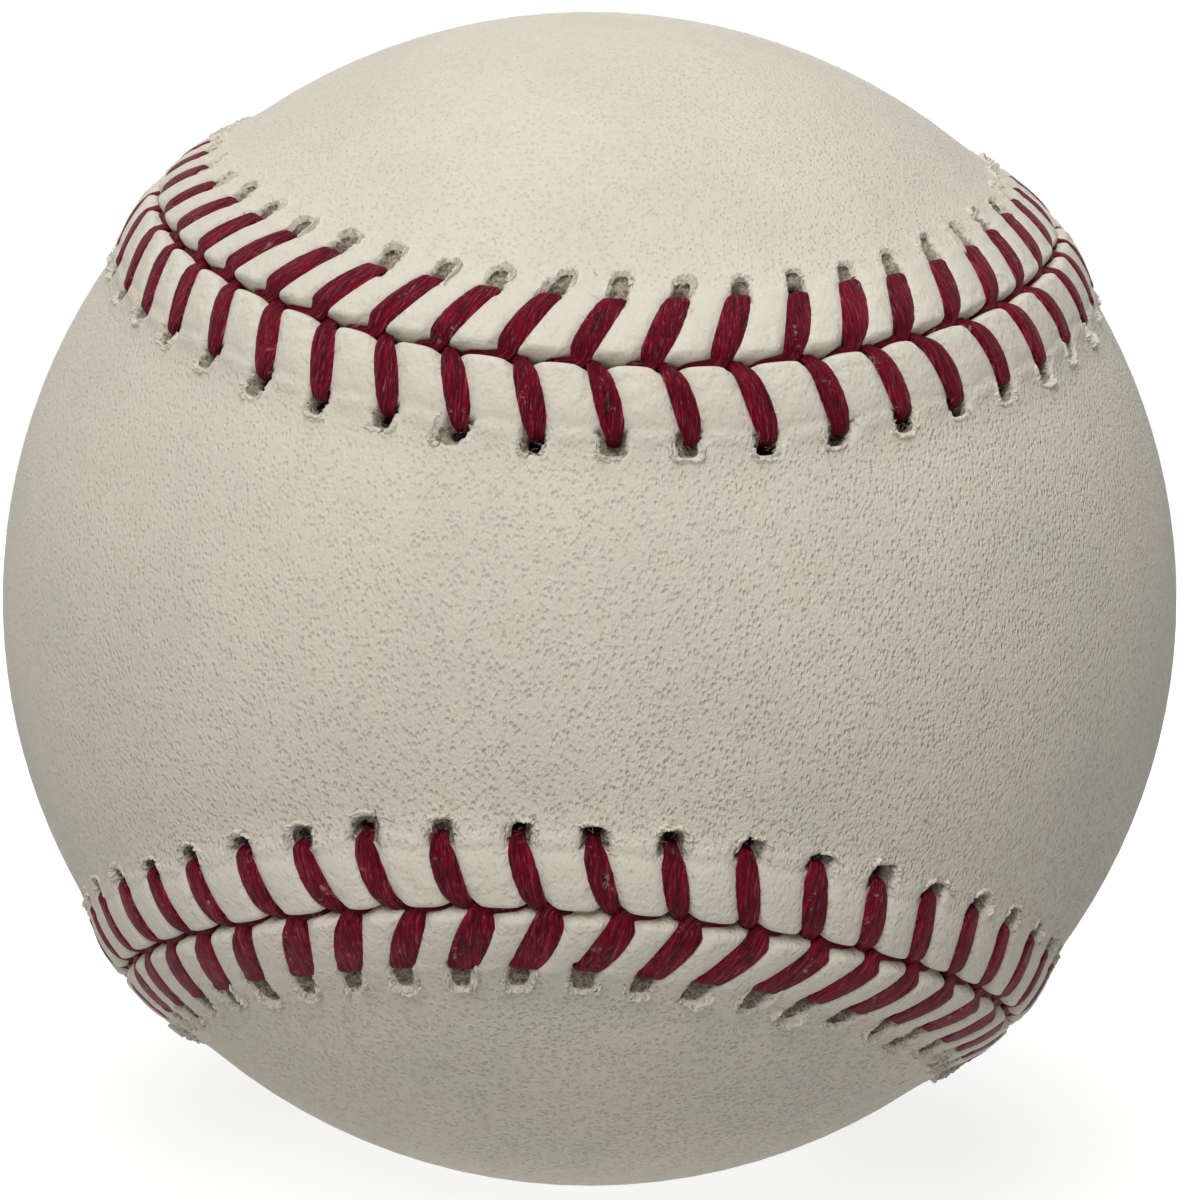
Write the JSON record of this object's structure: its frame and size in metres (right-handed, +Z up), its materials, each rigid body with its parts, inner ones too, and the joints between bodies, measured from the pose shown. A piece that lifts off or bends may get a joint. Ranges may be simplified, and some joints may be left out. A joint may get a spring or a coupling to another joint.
{
  "type": "baseball",
  "caption": "Leather-covered ball with two interlocking hide panels, raised red herringbone stitching, yarn windings and a cushioned cork core.",
  "frame": {"origin": "centre of the ball", "axes": "-Y out of the middle of panel A's waist, X along that panel, Z up across its waist through the middles of panel B's lobes"},
  "size_m": [0.074, 0.074, 0.0739],
  "materials": {
    "cork_composition": "moulded, speckled",
    "black_rubber": "moulded, matt",
    "red_rubber": "moulded, matt",
    "grey_wool": "wound yarn",
    "white_wool": "wound yarn",
    "white_yarn": "wound yarn",
    "rubber_cement": "dried coat",
    "alum_tanned_hide": "fine grain, matt",
    "waxed_red_thread": "flat, waxed"
  },
  "bodies": {
    "root": {"cork_core": "cork_composition", "inner_rubber_shell_upper": "black_rubber", "inner_rubber_shell_lower": "black_rubber", "rubber_washer": "red_rubber", "outer_rubber_shell": "red_rubber", "wool_winding_1": "grey_wool", "wool_winding_2": "white_wool", "wool_winding_3": "grey_wool", "finishing_winding": "white_yarn", "cement_coat": "rubber_cement", "cover_panel_a": "alum_tanned_hide", "cover_panel_b": "alum_tanned_hide", "thread_strand_a": "waxed_red_thread", "thread_strand_b": "waxed_red_thread"}
  },
  "joints": []
}
